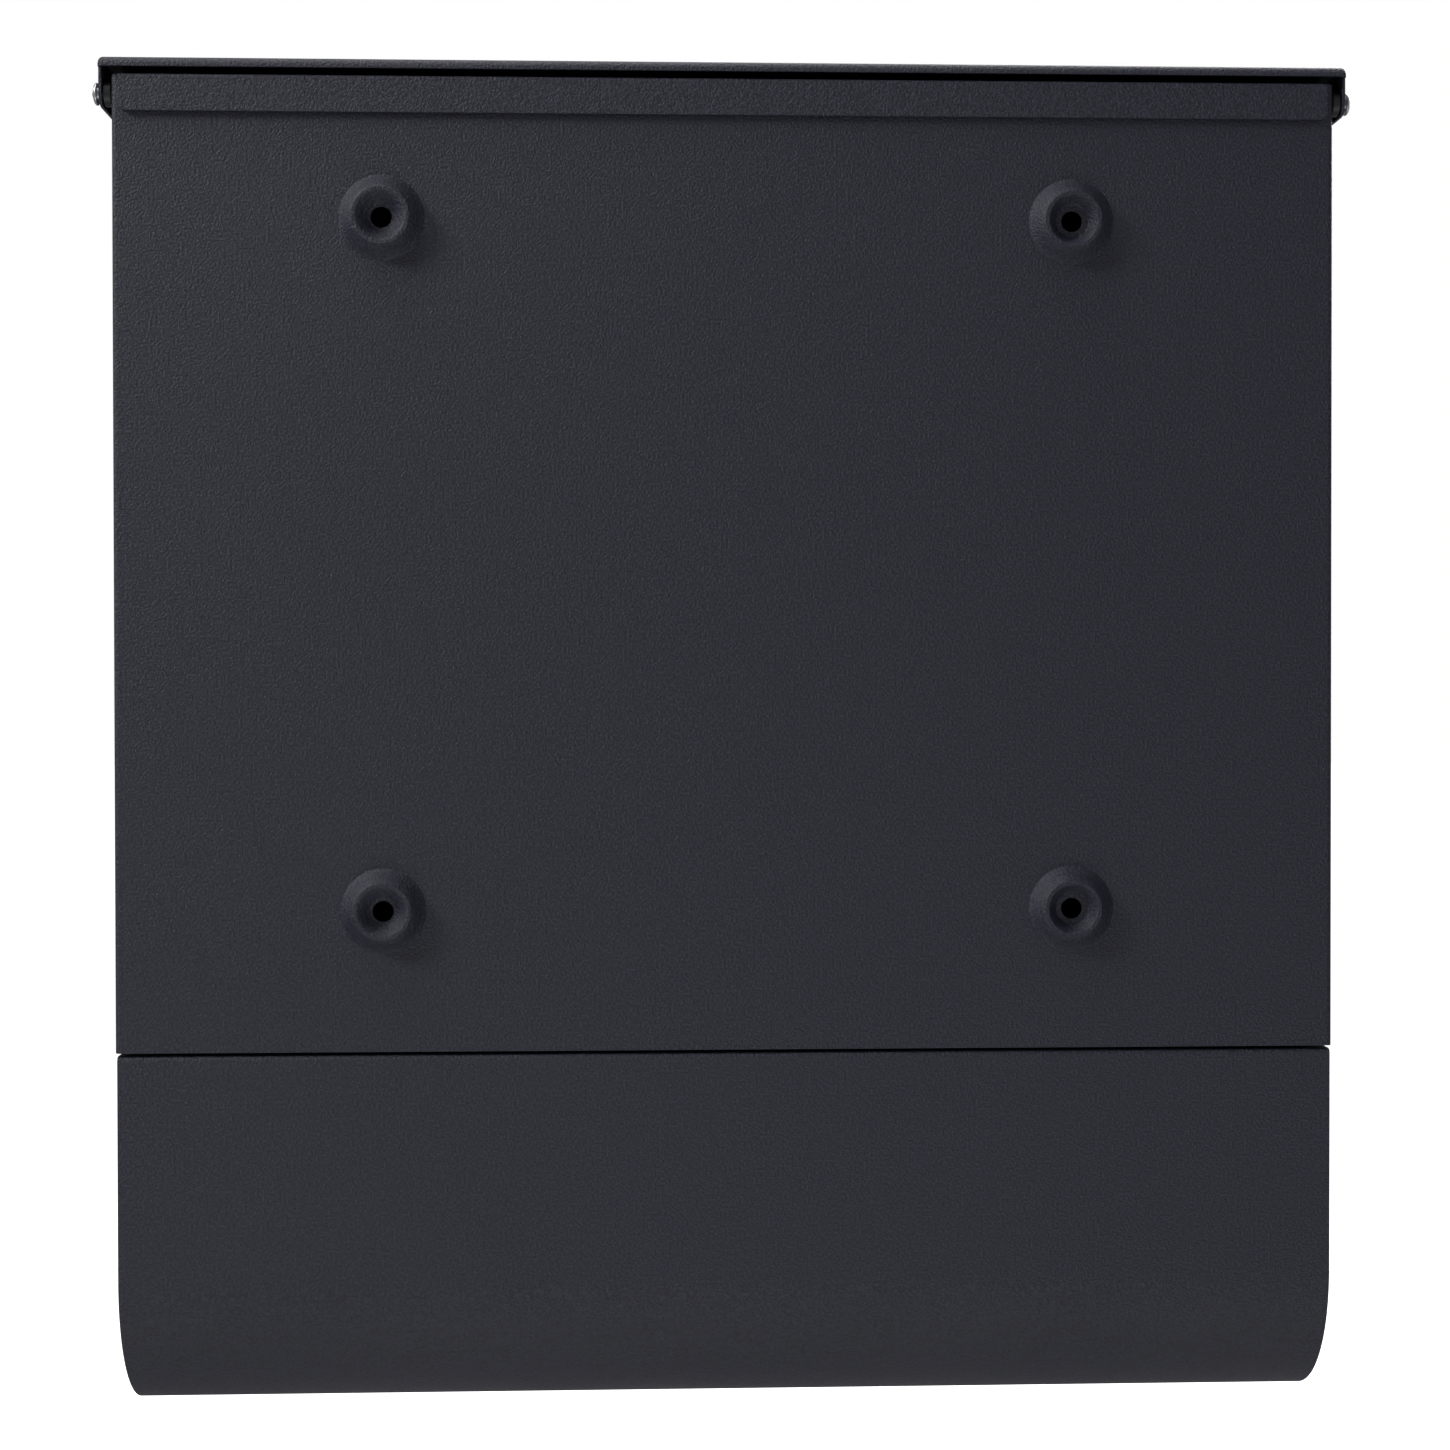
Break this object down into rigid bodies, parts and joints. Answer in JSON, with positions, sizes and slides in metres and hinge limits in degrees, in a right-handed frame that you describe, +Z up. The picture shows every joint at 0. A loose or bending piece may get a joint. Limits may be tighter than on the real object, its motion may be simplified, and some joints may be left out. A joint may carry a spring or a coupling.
{
  "type": "wall mounted mailbox",
  "caption": "Folded sheet-steel wall mailbox with a lift-up lid over the letter slot, a side-hung front door with a cam lock, and an open newspaper roll underneath.",
  "frame": {"origin": "centre of the four fixing holes, on the wall plane that the pressed bosses touch", "axes": "+Z up; the front faces -Y, so +Y points into the wall; +X to the right as seen from the front"},
  "size_m": [0.3664, 0.1017, 0.3962],
  "materials": {
    "anthracite_powder_coat": "fine sand-textured powder coat on folded sheet steel",
    "zinc_plated_steel": "bright zinc plate",
    "rivet_aluminium": "tumbled aluminium",
    "black_nylon": "moulded",
    "black_rubber": "moulded, matt",
    "lock_chrome": "chrome-plated die casting",
    "clear_window": "clear acrylic sheet",
    "white_card": "blank white card"
  },
  "bodies": {
    "cabinet": {"cabinet_shell": "anthracite_powder_coat", "floor_tray": "anthracite_powder_coat", "top_rail": "anthracite_powder_coat", "letter_guard": "anthracite_powder_coat", "strike_bracket": "anthracite_powder_coat", "door_buffer_upper": "black_rubber", "door_buffer_lower": "black_rubber", "newspaper_roll": "anthracite_powder_coat", "roll_screw_rear_left": "zinc_plated_steel", "roll_screw_rear_right": "zinc_plated_steel", "roll_screw_front_left": "zinc_plated_steel", "roll_screw_front_right": "zinc_plated_steel", "roll_nut_rear_left": "zinc_plated_steel", "roll_nut_rear_right": "zinc_plated_steel", "roll_nut_front_left": "zinc_plated_steel", "roll_nut_front_right": "zinc_plated_steel", "lid_rivet_left": "rivet_aluminium", "lid_rivet_right": "rivet_aluminium", "lid_spacer_left": "black_nylon", "lid_spacer_right": "black_nylon", "lid_buffer_left": "black_rubber", "lid_buffer_right": "black_rubber"},
    "lid": {"lid": "anthracite_powder_coat"},
    "door": {"door": "anthracite_powder_coat", "door_pin_top": "zinc_plated_steel", "door_pin_bottom": "zinc_plated_steel", "name_holder": "anthracite_powder_coat", "name_window": "clear_window", "name_card": "white_card", "lock_barrel": "lock_chrome", "lock_nut": "zinc_plated_steel"},
    "lock": {"lock_plug": "lock_chrome", "lock_cam": "zinc_plated_steel", "cam_screw": "zinc_plated_steel"}
  },
  "joints": [
    {"name": "lid_hinge", "type": "hinge", "parent": "cabinet", "child": "lid", "pos_m": [0, -0.0087, 0.1358], "axis": [-1, 0, 0], "range_deg": [0, 95]},
    {"name": "door_hinge", "type": "hinge", "parent": "cabinet", "child": "door", "pos_m": [-0.1636, -0.0887, 0], "axis": [0, 0, -1], "range_deg": [0, 110]},
    {"name": "lock_turn", "type": "hinge", "parent": "door", "child": "lock", "pos_m": [0.148, -0.0887, 0], "axis": [0, -1, 0], "range_deg": [0, 90]}
  ]
}
